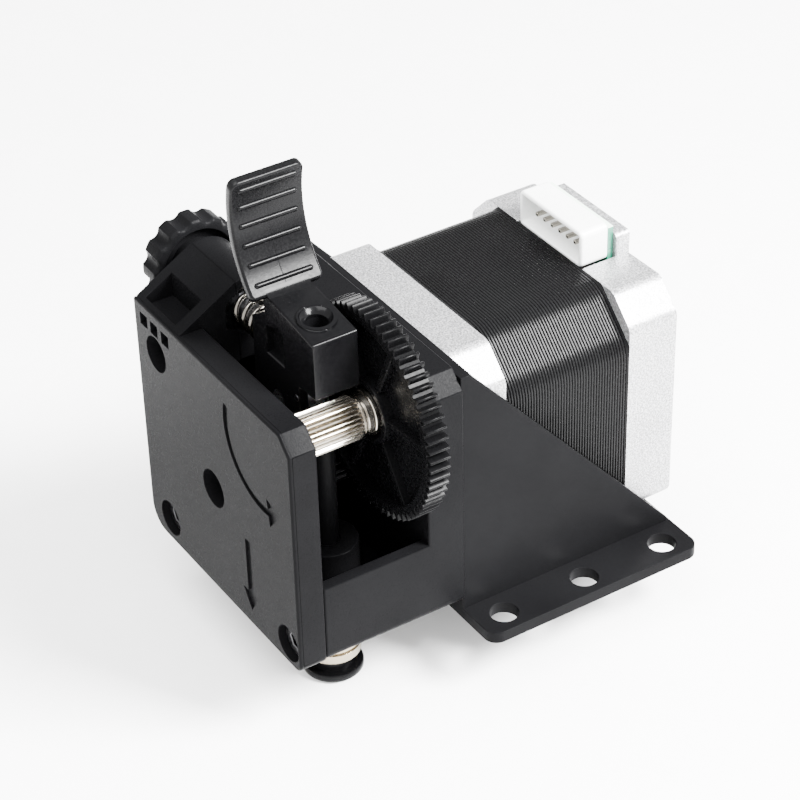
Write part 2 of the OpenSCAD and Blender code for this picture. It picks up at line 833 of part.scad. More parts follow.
// Poles of the stator, seen along the axis
module pole_outline() {
  poles = 8;
  neck = 5;
  far = 16;
  for (i = [0:poles - 1]) rotate(360 / poles * i) {
    translate([11.9, -neck / 2]) square([7, neck]);
    intersection() {
      difference() {
        circle(r = 13);
        circle(r = 11.2);
      }
      polygon([[0, 0], far * [cos(18), -sin(18)], far * [cos(18), sin(18)]]);
    }
  }
}

module stator_stack() {
  color(lamination) at_axis() difference() {
    slab_y(stack_y0, stack_y1) union() {
      difference() {
        cut_square(motor_w, 7.4);
        circle(r = 17.5);
      }
      pole_outline();
    }
    at_corners() rod_y(m3_r + 0.15, stack_y0 - eps, stack_y1 + eps);
  }
}

module stator_coils() {
  poles = 8;
  overhang = 2.2;
  half_w = 4.7;
  color(copper) at_axis()
    for (i = [0:poles - 1]) rotate([0, -360 / poles * i, 0]) difference() {
      block(13.4, 16.8, stack_y0 - overhang, stack_y1 + overhang, -half_w, half_w);
      block(13, 17.5, stack_y0 - 0.1, stack_y1 + 0.1, -2.6, 2.6);
    }
}

module motor_rear_cap() {
  notch_w = 8.5;
  notch_y1 = stack_y1 + 6.35;
  lip_top = 25.1;
  color(cast_aluminium) at_axis() difference() {
    union() {
      slab_y(stack_y1, motor_y1) cut_square(motor_w, 4.5);
      block(-notch_w - 0.4, notch_w + 0.4, notch_y1, motor_y1, half_motor - eps, lip_top);
    }
    block(-notch_w, notch_w, stack_y1 - eps, notch_y1, 17.3, half_motor + 1);
    difference() {
      rod_y(18.2, stack_y1 - eps, stack_y1 + 3.4);
      rod_y(8.5, stack_y1 + 2.4, stack_y1 + 4);
    }
    rod_y(6.5, stack_y1, stack_y1 + 7.2);
    at_corners() rod_y(m3_r + 0.1, stack_y1 - eps, motor_y1 + eps);
    at_corners() rod_y(3, motor_y1 - 2, motor_y1 + eps);
  }
}

module motor_front_bearing() {
  color(steel) at_axis() ball_bearing(shaft_r + 0.03, 7, plate_y1 + 1.5, plate_y1 + 5.5);
}

module motor_rear_bearing() {
  color(steel) at_axis() ball_bearing(shaft_r + 0.03, 6.5, stack_y1 + 2.6, stack_y1 + 6.4);
}

module preload_washer() {
  color(steel) at_axis() ring_y(3.6, 6.3, stack_y1 + 6.45, stack_y1 + 6.95);
}

module motor_screws() {
  head_y0 = motor_y1 - 1.95;
  color(steel) at_axis() at_corners() difference() {
    union() {
      rod_y(m3_r, 35, head_y0 + eps);
      rod_y(2.7, head_y0, motor_y1 - 0.3);
    }
    // Cross recess
    block(-1.6, 1.6, motor_y1 - 1.2, motor_y1, -0.3, 0.3);
    block(-0.3, 0.3, motor_y1 - 1.2, motor_y1, -1.6, 1.6);
  }
}

module motor_circuit_board() {
  color(board_green) at_axis() difference() {
    block(-8, 8, board_y0, board_y1, 18.4, 26.3);
    pin_row();
  }
}

// Row of six square pins
module pin_row() {
  for (i = [0:5])
    translate([(i - 2.5) * pin_pitch, 0, pin_z])
      block(-pin_half, pin_half, stack_y1 + 1.2, board_y1, -pin_half, pin_half);
}

module motor_connector() {
  z0 = half_motor + 0.1;
  z1 = 27;
  color(white_nylon) at_axis() difference() {
    block(-connector_half, connector_half, stack_y1 + 0.2, board_y0, z0, z1);
    block(-connector_half + 0.8, connector_half - 0.8, stack_y1, board_y0 - 1.2, z0 + 0.7, z1 - 0.7);
    pin_row();
  }
}

module connector_pins() {
  color(nickel) at_axis() pin_row();
}

mounting_bracket();
body_housing();
front_cover();
filament_guide();
outlet_fitting();
release_collet();
cover_screws();
housing_screws();
hob_front_bearing();
hob_rear_bearing();
hob_shaft();
driven_gear();
idler_arm();
idler_axle();
cheek_pin();
idler_bearing();
tension_knob();
tension_screw();
thrust_ring();
tension_nut();
tension_spring();
pinion_gear();
pinion_grub_screw();
motor_shaft();
rotor_front_cup();
rotor_magnet();
rotor_rear_cup();
motor_front_cap();
stator_stack();
stator_coils();
motor_rear_cap();
motor_front_bearing();
motor_rear_bearing();
preload_washer();
motor_screws();
motor_circuit_board();
motor_connector();
connector_pins();
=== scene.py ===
import json
import math

import bmesh
import bpy
from mathutils import Matrix, Vector


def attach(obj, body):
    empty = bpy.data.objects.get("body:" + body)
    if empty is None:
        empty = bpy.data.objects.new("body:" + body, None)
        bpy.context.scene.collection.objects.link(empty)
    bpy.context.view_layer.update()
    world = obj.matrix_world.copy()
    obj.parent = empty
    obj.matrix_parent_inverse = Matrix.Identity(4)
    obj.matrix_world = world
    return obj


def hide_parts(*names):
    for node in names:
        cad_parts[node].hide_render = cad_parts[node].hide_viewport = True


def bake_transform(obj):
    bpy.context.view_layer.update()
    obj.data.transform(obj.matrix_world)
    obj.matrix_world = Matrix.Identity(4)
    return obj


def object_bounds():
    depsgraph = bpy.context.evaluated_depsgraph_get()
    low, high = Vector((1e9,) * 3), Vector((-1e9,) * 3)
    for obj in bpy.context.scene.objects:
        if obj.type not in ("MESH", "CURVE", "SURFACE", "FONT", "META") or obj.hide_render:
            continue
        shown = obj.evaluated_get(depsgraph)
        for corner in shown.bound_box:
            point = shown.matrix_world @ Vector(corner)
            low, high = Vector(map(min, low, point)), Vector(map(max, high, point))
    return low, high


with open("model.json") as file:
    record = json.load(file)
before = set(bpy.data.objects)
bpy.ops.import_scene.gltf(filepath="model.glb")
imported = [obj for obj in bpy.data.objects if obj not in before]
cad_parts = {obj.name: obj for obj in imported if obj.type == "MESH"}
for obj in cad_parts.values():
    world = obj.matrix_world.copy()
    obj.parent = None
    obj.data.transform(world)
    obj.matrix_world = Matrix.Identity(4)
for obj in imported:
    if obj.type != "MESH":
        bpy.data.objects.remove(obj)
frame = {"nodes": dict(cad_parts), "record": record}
NODES = frame["nodes"]
cad_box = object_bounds()

MM = 0.001
# The motor axis at the cover's front face, in the row frame, in millimetres
AXIS_Y = -49.0
AXIS_Z = 23.3

# The measures below are in millimetres from that point
LEFT_X, RIGHT_X, TOP_Z = -21.8, 23.6, 22.4
COVER_T, COVER_Z0 = 4.6, -19.8
CORNER_CUT, BIG_CORNER, SMALL_CORNER = 2.7, 4.0, 1.5
STACK_Y0, STACK_Y1 = 38.4, 61.0
SPRING_Y, SPRING_Z = 12.4, 22.9
GEAR_DISTANCE, HOB_ANGLE = 22.0, math.radians(46)
HOB_X = GEAR_DISTANCE * math.cos(HOB_ANGLE)
HOB_Z = GEAR_DISTANCE * math.sin(HOB_ANGLE)
HOB_R, FILAMENT_R, FILAMENT_BITE = 3.5, 0.875, 0.1
PATH_Y = 12.8
PATH_X = HOB_X - HOB_R - FILAMENT_R + FILAMENT_BITE
BOARD_TOP_Z = 26.2


def at(x, y, z):
    """A point in millimetres from the motor axis at the cover's face, as metres in the row frame."""
    return Vector((x * MM, (y + AXIS_Y) * MM, (z + AXIS_Z) * MM))


# ---------------------------------------------------------------- materials

# Noise cells to the metre in the slow tone changes, and the part of the noise's range that the grain spans
CLOUD_SCALE = 60.0
GRAIN_RANGE = (0.3, 0.7)


def new_material(name):
    mat = bpy.data.materials.new(name)
    mat.use_nodes = True
    nt = mat.node_tree
    shader = nt.nodes["Principled BSDF"]
    return mat, nt, shader


def coords(nt):
    return nt.nodes.new("ShaderNodeTexCoord").outputs["Object"]


def noise_tex(nt, source, scale, detail=2.0, rough=0.5):
    n = nt.nodes.new("ShaderNodeTexNoise")
    n.inputs["Scale"].default_value = scale
    n.inputs["Detail"].default_value = detail
    n.inputs["Roughness"].default_value = rough
    nt.links.new(source, n.inputs["Vector"])
    return n.outputs["Fac"]


def ramp(nt, source, stops):
    r = nt.nodes.new("ShaderNodeValToRGB")
    el = r.color_ramp.elements
    while len(el) < len(stops):
        el.new(0.5)
    for e, (pos, col) in zip(el, stops):
        e.position = pos
        e.color = (*col, 1.0)
    nt.links.new(source, r.inputs["Fac"])
    return r.outputs["Color"]


def map_range(nt, source, a, b, c, d):
    m = nt.nodes.new("ShaderNodeMapRange")
    for key, value in (("From Min", a), ("From Max", b), ("To Min", c), ("To Max", d)):
        m.inputs[key].default_value = value
    nt.links.new(source, m.inputs["Value"])
    return m.outputs["Result"]


def tinted(nt, grain, share, slow):
    """A slow value with a share of the grain added to it."""
    m = nt.nodes.new("ShaderNodeMath")
    m.operation = "MULTIPLY_ADD"
    nt.links.new(grain, m.inputs[0])
    m.inputs[1].default_value = share
    nt.links.new(slow, m.inputs[2])
    return m.outputs[0]


def add_bump(nt, shader, height, strength, distance):
    b = nt.nodes.new("ShaderNodeBump")
    b.inputs["Strength"].default_value = strength
    b.inputs["Distance"].default_value = distance
    nt.links.new(height, b.inputs["Height"])
    nt.links.new(b.outputs["Normal"], shader.inputs["Normal"])


def grained(name, dark, light, rough, rough_span, grain_scale, bump, metallic=0.0, specular=0.5,
            bump_distance=2e-5):
    """A moulded or coated surface: slow tone changes, with a fine grain in tone, bump and roughness."""
    mat, nt, shader = new_material(name)
    co = coords(nt)
    cloud = noise_tex(nt, co, CLOUD_SCALE, 3.0)
    grain = noise_tex(nt, co, grain_scale, 2.0, 0.6)
    colour = ramp(nt, tinted(nt, grain, 0.5, cloud), [(0.45, dark), (1.05, light)])
    nt.links.new(colour, shader.inputs["Base Color"])
    roughness = map_range(nt, grain, *GRAIN_RANGE, rough - rough_span, rough + rough_span)
    nt.links.new(roughness, shader.inputs["Roughness"])
    shader.inputs["Metallic"].default_value = metallic
    shader.inputs["Specular IOR Level"].default_value = specular
    add_bump(nt, shader, grain, bump, bump_distance)
    return mat


def cast_metal(name):
    """Blasted die casting: bright, with a fine dark and light speckle."""
    mat, nt, shader = new_material(name)
    co = coords(nt)
    speck = noise_tex(nt, co, 3400, 3.0, 0.75)
    cloud = noise_tex(nt, co, 90, 3.0)
    tone = map_range(nt, speck, 0.34, 0.66, 0.0, 1.0)
    colour = ramp(nt, tinted(nt, cloud, 0.3, tone),
                  [(0.0, (0.09, 0.09, 0.092)), (0.6, (0.27, 0.27, 0.275)), (1.15, (0.54, 0.54, 0.55))])
    nt.links.new(colour, shader.inputs["Base Color"])
    nt.links.new(map_range(nt, speck, *GRAIN_RANGE, 0.32, 0.55), shader.inputs["Roughness"])
    shader.inputs["Metallic"].default_value = 0.75
    add_bump(nt, shader, speck, 0.7, 4e-5)
    return mat


def circuit_board(name):
    """Green solder mask, with a pale sheet edge along the top."""
    mat, nt, shader = new_material(name)
    co = coords(nt)
    split = nt.nodes.new("ShaderNodeSeparateXYZ")
    nt.links.new(co, split.inputs["Vector"])
    top = BOARD_TOP_Z + AXIS_Z
    edge = map_range(nt, split.outputs["Z"], (top - 0.05) * MM, (top + 0.05) * MM, 0.0, 1.0)
    grain = noise_tex(nt, co, 1800, 3.0)
    colour = ramp(nt, tinted(nt, grain, 0.12, edge),
                  [(0.0, (0.01, 0.1, 0.06)), (0.12, (0.02, 0.16, 0.1)), (0.6, (0.45, 0.62, 0.5)),
                   (1.0, (0.6, 0.72, 0.62))])
    nt.links.new(colour, shader.inputs["Base Color"])
    nt.links.new(map_range(nt, grain, *GRAIN_RANGE, 0.25, 0.4), shader.inputs["Roughness"])
    add_bump(nt, shader, grain, 0.1, 1e-5)
    return mat


# name: dark and light tone, roughness and its span, grain cells to the metre, bump, and any other argument
GRAINED = {
    "black_moulding": ((0.0018, 0.0018, 0.002), (0.0034, 0.0034, 0.0037), 0.34, 0.1, 4600, 0.8,
                       {"specular": 0.0135, "bump_distance": 3e-5}),
    "black_gloss_moulding": ((0.0012, 0.0012, 0.0014), (0.0025, 0.0025, 0.0027), 0.18, 0.04, 1500, 0.12,
                             {"specular": 0.06}),
    "pad_moulding": ((0.0012, 0.0012, 0.0014), (0.0025, 0.0025, 0.0027), 0.27, 0.07, 2600, 0.4,
                     {"specular": 0.06}),
    "gear_moulding": ((0.0012, 0.0012, 0.0013), (0.0022, 0.0022, 0.0024), 0.28, 0.05, 2500, 0.15,
                      {"specular": 0.035}),
    "black_steel": ((0.002, 0.002, 0.0022), (0.0036, 0.0036, 0.0039), 0.36, 0.07, 3600, 0.3,
                    {"specular": 0.013}),
    "laminations": ((0.002, 0.002, 0.0021), (0.0045, 0.0045, 0.0047), 0.26, 0.07, 2600, 0.2,
                    {"specular": 0.05}),
    "white_nylon": ((0.7, 0.71, 0.7), (0.84, 0.85, 0.84), 0.32, 0.05, 2000, 0.1, {}),
    "steel": ((0.3, 0.3, 0.31), (0.45, 0.45, 0.465), 0.3, 0.06, 3000, 0.1, {"metallic": 1.0}),
    "dark_steel": ((0.02, 0.02, 0.021), (0.05, 0.05, 0.052), 0.32, 0.06, 3000, 0.15, {"metallic": 1.0}),
    "spring_steel": ((0.09, 0.083, 0.072), (0.16, 0.15, 0.135), 0.19, 0.04, 2500, 0.05, {"metallic": 1.0}),
    "nickel": ((0.31, 0.285, 0.245), (0.47, 0.44, 0.39), 0.22, 0.05, 2500, 0.06, {"metallic": 1.0}),
    "plated_brass": ((0.24, 0.2, 0.145), (0.36, 0.31, 0.235), 0.24, 0.05, 2500, 0.12, {"metallic": 1.0}),
    "copper": ((0.35, 0.14, 0.06), (0.5, 0.22, 0.11), 0.3, 0.05, 2000, 0.3, {"metallic": 1.0}),
    "magnet": ((0.08, 0.08, 0.085), (0.14, 0.14, 0.15), 0.4, 0.05, 2500, 0.2, {"metallic": 0.8}),
}
MAT = {name: grained(name, *values[:-1], **values[-1]) for name, values in GRAINED.items()}
MAT["cast_aluminium"] = cast_metal("cast_aluminium")
MAT["board"] = circuit_board("board")

SLOT_OF = {s["node"]: s["material_slot"] for s in frame["record"]["subparts"]}
for name, obj in NODES.items():
    obj.data.materials.clear()
    obj.data.materials.append(MAT["dark_steel" if name == "tension_nut" else SLOT_OF[name]])

# ---------------------------------------------------------------- mesh tools

def to_axis_frame(bm):
    """Welds a bmesh, puts it in millimetres from the motor axis and joins its coplanar triangles."""
    bmesh.ops.remove_doubles(bm, verts=bm.verts, dist=2e-6)
    for v in bm.verts:
        v.co = (v.co.x / MM, v.co.y / MM - AXIS_Y, v.co.z / MM - AXIS_Z)
    bmesh.ops.dissolve_limit(bm, angle_limit=math.radians(0.5), verts=bm.verts[:], edges=bm.edges[:])
    bmesh.ops.recalc_face_normals(bm, faces=bm.faces[:])
    return bm


def cad_mesh(name):
    """A CAD node's mesh as to_axis_frame leaves it."""
    bm = bmesh.new()
    bm.from_mesh(NODES[name].data)
    return to_axis_frame(bm)


def bevel(bm, width, choose=None, segments=2, least_angle=25.0):
    """Rounds the convex edges sharper than least_angle degrees for which choose(middle, edge) is true."""
    least = math.radians(least_angle)
    picked = []
    for e in bm.edges:
        if not e.is_manifold or e.calc_face_angle_signed(0) < least:
            continue
        if choose is None or choose((e.verts[0].co + e.verts[1].co) / 2, e):
            picked.append(e)
    bmesh.ops.bevel(bm, geom=picked, offset=width, offset_type="OFFSET", segments=segments, profile=0.5,
                    affect="EDGES", clamp_overlap=False)


def piece(bm, name, body, slot, replaces=(), material=None, sharp=38.0, weighted=True, flat_over=None):
    """Turns a bmesh in millimetres from the motor axis into a shown piece.

    Edges over sharp degrees stay sharp. Faces square to an axis and larger than flat_over, in square
    millimetres, keep their own plane's shading."""
    for v in bm.verts:
        v.co = at(*v.co)
    mesh = bpy.data.meshes.new(name)
    bm.to_mesh(mesh)
    bm.free()
    for p in mesh.polygons:
        p.use_smooth = True
    mesh.set_sharp_from_angle(angle=math.radians(sharp))
    for p in mesh.polygons:
        if flat_over and p.area > flat_over * MM * MM and max(abs(c) for c in p.normal) > 0.99999:
            p.use_smooth = False
    obj = bpy.data.objects.new(name, mesh)
    bpy.context.scene.collection.objects.link(obj)
    mesh.materials.append(material or MAT[slot])
    if weighted:
        mod = obj.modifiers.new("weighted", "WEIGHTED_NORMAL")
        mod.keep_sharp = True
        mod.weight = 60
    if body:
        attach(obj, body)
    if replaces:
        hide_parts(*replaces)
    return obj


def skin(bm, rows):
    """Faces between neighbouring rows, which are closed rings of the same number of vertices."""
    for a, b in zip(rows, rows[1:]):
        for i in range(len(a)):
            j = (i + 1) % len(a)
            bm.faces.new((a[i], a[j], b[j], b[i]))


def new_rows(bm, rings):
    return [[bm.verts.new(p) for p in ring] for ring in rings]


def fix_normals(bm):
    bmesh.ops.recalc_face_normals(bm, faces=bm.faces[:])
    return bm


def loft(rings):
    """Closed solid through a list of rings that all have the same number of points."""
    bm = bmesh.new()
    rows = new_rows(bm, rings)
    skin(bm, rows)
    bm.faces.new(reversed(rows[0]))
    bm.faces.new(rows[-1])
    return fix_normals(bm)


def tube_of(rings):
    """Closed ring-shaped solid: the last ring joins the first."""
    bm = bmesh.new()
    rows = new_rows(bm, rings)
    skin(bm, rows + rows[:1])
    return fix_normals(bm)


def turn(i, n):
    return 2 * math.pi * i / n


def circle(r, sides):
    """Points round a circle, as pairs."""
    return [(r * math.cos(turn(i, sides)), r * math.sin(turn(i, sides))) for i in range(sides)]


def lathe_y(profile, x, z, sides):
    """Solid of revolution about the line through x, z along Y, from (y, r) points round its section."""
    return tube_of([[(x + u, y, z + v) for u, v in circle(r, sides)] for y, r in profile])


def lathe_z(profile, x, y, sides):
    """The same along Z, from (z, r) points."""
    return tube_of([[(x + u, y + v, z) for u, v in circle(r, sides)] for z, r in profile])


# ---------------------------------------------------------------- housing, cover and bracket

def near(a, b, tol=0.02):
    return abs(a - b) < tol


def on_outline(m):
    """Is the point on the outer outline of the cover?"""
    from_big = math.hypot(m.x - LEFT_X - BIG_CORNER, m.z - COVER_Z0 - BIG_CORNER)
    from_small = math.hypot(m.x - RIGHT_X + SMALL_CORNER, m.z - COVER_Z0 - SMALL_CORNER)
    in_big = m.x < LEFT_X + BIG_CORNER + 0.1 and m.z < COVER_Z0 + BIG_CORNER + 0.1
    in_small = m.x > RIGHT_X - SMALL_CORNER - 0.05 and m.z < COVER_Z0 + SMALL_CORNER + 0.05
    return (in_big and from_big > BIG_CORNER - 0.15) or (in_small and from_small > SMALL_CORNER - 0.1) \
        or near(m.x, LEFT_X) or near(m.x, RIGHT_X) or near(m.z, COVER_Z0) or near(m.z, TOP_Z) \
        or near(m.x + m.z, RIGHT_X + TOP_Z - CORNER_CUT)


def groove_round(bm, y, half, depth, chosen):
    """A fine V groove in the plane y, round the part of the outline that chosen(point) picks."""
    for cut in (y - half, y, y + half):
        bmesh.ops.bisect_plane(bm, geom=bm.verts[:] + bm.edges[:] + bm.faces[:], dist=1e-5,
                               plane_co=(0, cut, 0), plane_no=(0, 1, 0))
    bm.normal_update()
    for v in bm.verts:
        if near(v.co.y, y, 1e-4) and chosen(v.co):
            flat = Vector((v.normal.x, 0, v.normal.z))
            if flat.length > 0.5:
                v.co -= flat.normalized() * depth


def round_seam(bm):
    """Rounds the edges on both sides of the seam between the cover and the housing."""
    bevel(bm, 0.28, lambda m, e: near(m.y, COVER_T) and on_outline(m), 2)


def build_cover():
    # Edges shorter than this are facets of round holes
    facet = 0.15
    rim_r = 0.35
    # The fine line round the sides, just behind the rounded rim
    line_y, line_half, line_depth = 0.62, 0.08, 0.16
    # The arrows' part of the face, with the screw hole beside them, and the right screw's counterbore
    arrows_x, arrows_z, arrow_y = (2.9, 21.5), (-15, 12), 0.6
    screw_x, screw_z, screw_clear = 15.5, -15.5, 3.4
    bore_z0, bore_z1, bore_x1 = -18, -13.9, RIGHT_X - 0.4

    def on_rim(m):
        return near(m.y, 0) and on_outline(m)

    def in_arrow(m):
        """The two arrows keep crisp edges; the screw's counterbore beside them doesn't."""
        return m.y < arrow_y and arrows_x[0] < m.x < arrows_x[1] and arrows_z[0] < m.z < arrows_z[1] \
            and math.hypot(m.x - screw_x, m.z - screw_z) > screw_clear

    bm = cad_mesh("front_cover")
    bevel(bm, rim_r, lambda m, e: on_rim(m), 3)
    bevel(bm, 0.12, lambda m, e: m.y < COVER_T - 0.1 and e.calc_length() > facet and not in_arrow(m)
          and not on_rim(m) and not near(m.y, rim_r, rim_r + 0.01), 2)
    round_seam(bm)
    groove_round(bm, line_y, line_half, line_depth, lambda c: on_outline(c) or c.z > TOP_Z)
    for v in bm.verts:
        if abs(v.co.y) < 0.01:
            v.co.y = 0
            # The right screw's counterbore stops short of the rounded edge
            if bore_z0 < v.co.z < bore_z1:
                v.co.x = min(v.co.x, bore_x1)
    piece(bm, "cover_shell", "frame", "black_moulding", ["front_cover"], flat_over=3)


def build_housing():
    bm = cad_mesh("body_housing")
    round_seam(bm)
    bevel(bm, 0.2, lambda m, e: e.calc_length() > 0.15 and m.y > COVER_T + 0.4, 2)
    piece(bm, "housing_shell", "frame", "black_moulding", ["body_housing"], flat_over=25)


def build_bracket():
    bm = cad_mesh("mounting_bracket")
    bevel(bm, 0.13)
    piece(bm, "bracket_plate", "frame", "black_steel", ["mounting_bracket"])


def build_caps():
    # The rear cap's raised lip, round the plug: its edges lie nearer the middle than lip_clear
    lip_half, lip_top, lip_clear = 8.9, 25.1, 12
    # The edges of the cut corners lie beyond this
    side = 21.1

    def corner_edge(m, e):
        """Is this an edge of the cap's cut corners?"""
        runs_back = abs((e.verts[0].co - e.verts[1].co).normalized().y) > 0.99
        return runs_back and max(abs(m.x), abs(m.z)) > side

    bm = cad_mesh("motor_front_cap")
    bevel(bm, 1.0, corner_edge, 4)
    bevel(bm, 0.3, lambda m, e: e.calc_length() > 1.0, 3)
    piece(bm, "front_cap_casting", "frame", "cast_aluminium", ["motor_front_cap"])
    bm = cad_mesh("motor_rear_cap")
    bevel(bm, 1.0, lambda m, e: corner_edge(m, e) and abs(m.x) > lip_clear, 4)
    bevel(bm, 0.9, lambda m, e: near(m.z, lip_top) and near(abs(m.x), lip_half), 4)
    bevel(bm, 0.3, lambda m, e: e.calc_length() > 1.0, 3)
    piece(bm, "rear_cap_casting", "frame", "cast_aluminium", ["motor_rear_cap"])


def build_stack():
    """The lamination stack: its outer walls become sheets with a fine groove between neighbours."""
    half, cut, rounding, sheets = 21.15, 7.4, 2.6, 45
    # Offsets along the stack and depths of one groove
    groove = ((-0.15, 0.0), (-0.07, 0.05), (-0.03, 0.17), (0.03, 0.17), (0.07, 0.05), (0.15, 0.0))
    corners = [(half, -half + cut), (half, half - cut), (half - cut, half), (-half + cut, half),
               (-half, half - cut), (-half, -half + cut), (-half + cut, -half), (half - cut, -half)]
    # Each corner becomes a curve of this many points
    steps = 5

    # The walls of the stack's bore lie inside these
    bore_half, bore_reach = 15, 18.5

    def is_outer_wall(f):
        c = f.calc_center_median()
        return abs(f.normal.y) < 0.1 and c.dot(f.normal) > 0 \
            and max(abs(c.x), abs(c.z)) > bore_half and c.xz.length > bore_reach

    bm = cad_mesh("stator_stack")
    bmesh.ops.delete(bm, geom=[f for f in bm.faces if is_outer_wall(f)], context="FACES")
    outline = []
    for i, corner in enumerate(corners):
        p = Vector(corner)
        neighbours = (corners[i - 1], corners[(i + 1) % len(corners)])
        a, b = (p + rounding * (Vector(q) - p).normalized() for q in neighbours)
        outline += [(1 - u) ** 2 * a + 2 * u * (1 - u) * p + u * u * b
                    for u in (k / (steps - 1) for k in range(steps))]

    def ring(y, inset):
        scale = 1 - inset / half
        return [(q.x * scale, y, q.y * scale) for q in outline]

    def nearest(x, y, z):
        return min(bm.verts, key=lambda v: (v.co - Vector((x, y, z))).length)

    pitch = (STACK_Y1 - STACK_Y0) / sheets
    rows = new_rows(bm, [ring(STACK_Y0 + i * pitch + dy, inset)
                         for i in range(1, sheets) for dy, inset in groove])
    skin(bm, rows)
    for y, row in ((STACK_Y0, rows[0]), (STACK_Y1, rows[-1])):
        end = [nearest(x, y, z) for x, z in corners]
        for i in range(len(end)):
            last = steps * (i + 1) - 1
            for k in range(steps * i, last):
                bm.faces.new((end[i], row[k], row[k + 1]))
            bm.faces.new((end[i], row[last], row[(last + 1) % len(row)], end[(i + 1) % len(end)]))
    fix_normals(bm)
    piece(bm, "lamination_stack", "frame", "laminations", ["stator_stack"], sharp=20, weighted=False)


# ---------------------------------------------------------------- knob, spring and idler

def soft_min(a, b, k):
    """The smaller of two numbers, rounded over where they are within k of each other."""
    h = max(k - abs(a - b), 0.0) / k
    return min(a, b) - h * h * k / 4


def build_knob():
    sides, knob_r = 240, 7.7
    # Twelve scallops, each a circle of this radius centred this far out
    scallops, scallop_at, scallop_r, blend = 12, 8.6, 1.5, 0.2
    pitch = 360 / scallops
    x0, x1, hub_x1, bore_r = -27.7, -23.3, -21.96, 1.52

    def ring(x, inset, lobed):
        pts = []
        for i in range(sides):
            a = turn(i, sides)
            r = knob_r
            local = (math.degrees(a) - pitch / 2) % pitch
            phi = math.radians(local if local < pitch / 2 else local - pitch)
            side = scallop_at * math.sin(phi)
            if lobed and abs(side) < scallop_r:
                edge = scallop_at * math.cos(phi) - math.sqrt(scallop_r * scallop_r - side * side)
                r = soft_min(knob_r, edge, blend)
            r = (r if lobed else 0) - inset
            pts.append((x, SPRING_Y + abs(r) * math.cos(a), SPRING_Z + abs(r) * math.sin(a)))
        return pts

    def lobed(*steps):
        return [ring(x, inset, True) for x, inset in steps]

    def plain(*steps):
        return [ring(x, r, False) for x, r in steps]

    rows = plain((x0 + 0.4, 3.0), (x0 + 0.4, 6.0), (x0 + 0.1, 6.3), (x0 + 0.02, 6.5)) \
        + lobed((x0, 0.75), (-27.62, 0.4), (-27.4, 0.12), (-27.1, 0.0),
                (-24.0, 0.0), (-23.68, 0.06), (-23.42, 0.3), (x1, 0.62)) \
        + plain((x1, 6.12), (-23.38, 6.0), (-24.7, 5.95), (-24.7, 4.1), (x1, 4.0),
                (-22.1, 4.0), (hub_x1, 3.85), (hub_x1, bore_r), (-26.7, bore_r))
    piece(loft(rows), "knob_grip", "knob", "black_moulding", ["tension_knob"], sharp=32)


def build_spring():
    """The compression spring with its closed ends, in two pieces: one at the nut's end, the other at the
    idler's."""
    turns, per_turn, sides = 5.0, 44, 14
    x0, x1, coil_r, wire = -9.35, 1.9, 2.4, 0.42
    # Share of the wire in each closed end, and share of the length that it takes up
    closed, closed_length = 0.55 / turns, 0.12
    nut_end_length, dead_end = 3.0, 0.4
    steps = int(turns * per_turn)
    rows = []
    for i in range(steps + 1):
        t = i / steps
        if t < closed:
            s = closed_length * (t / closed) ** 2
        elif t > 1 - closed:
            s = 1.0 - closed_length * ((1 - t) / closed) ** 2
        else:
            s = closed_length + (1 - 2 * closed_length) * (t - closed) / (1 - 2 * closed)
        x = x0 + wire + (x1 - x0 - 2 * wire) * s
        a = 2 * math.pi * turns * t
        taper = min(1.0, 0.55 + 3.0 * min(t, 1 - t) * turns)
        rows.append([(x + taper * along, SPRING_Y + (coil_r + out) * math.cos(a),
                      SPRING_Z + (coil_r + out) * math.sin(a)) for out, along in circle(wire, sides)])
    meet = x0 + nut_end_length
    split = next(i for i, row in enumerate(rows) if row[0][0] > meet)
    for name, part, bodies, ends in (
            ("spring_coil_nut_end", rows[:split + 1], ("nut", "frame"), (x0 + dead_end, meet)),
            ("spring_coil_arm_end", rows[split:], ("frame", "idler"), (meet, x1 - dead_end))):
        obj = piece(loft(part), name, None, "nickel", ["tension_spring"], MAT["spring_steel"], 60, False)
        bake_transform(obj)


def box_object(name, lo, hi):
    """A box between two corners, in millimetres from the motor axis."""
    (x0, y0, z0), (x1, y1, z1) = lo, hi
    bm = bmesh.new()
    vs = [bm.verts.new(at(x, y, z)) for x in (x0, x1) for y in (y0, y1) for z in (z0, z1)]
    for f in ((0, 1, 3, 2), (4, 6, 7, 5), (0, 4, 5, 1), (2, 3, 7, 6), (0, 2, 6, 4), (1, 5, 7, 3)):
        bm.faces.new([vs[i] for i in f])
    fix_normals(bm)
    mesh = bpy.data.meshes.new(name)
    bm.to_mesh(mesh)
    bm.free()
    obj = bpy.data.objects.new(name, mesh)
    bpy.context.scene.collection.objects.link(obj)
    return obj


def cad_mesh_without(name, boxes):
    """A CAD node's mesh as cad_mesh gives it, with some boxes cut away."""
    source = bpy.data.objects.new("uncut", NODES[name].data.copy())
    bpy.context.scene.collection.objects.link(source)
    cutters = []
    for i, (lo, hi) in enumerate(boxes):
        cutter = box_object(f"cutter_{i}", lo, hi)
        mod = source.modifiers.new(f"cut_{i}", "BOOLEAN")
        mod.operation = "DIFFERENCE"
        mod.solver = "EXACT"
        mod.object = cutter
        cutters.append(cutter)
    bm = bmesh.new()
    bm.from_object(source, bpy.context.evaluated_depsgraph_get())
    for o in [source] + cutters:
        mesh = o.data
        bpy.data.objects.remove(o)
        bpy.data.meshes.remove(mesh)
    return to_axis_frame(bm)


def bezier(p0, p1, p2, steps):
    """Points of a quadratic curve, as tuples."""
    return [tuple((1 - t) ** 2 * a + 2 * t * (1 - t) * b + t * t * c for a, b, c in zip(p0, p1, p2))
            for t in (k / steps for k in range(steps + 1))]


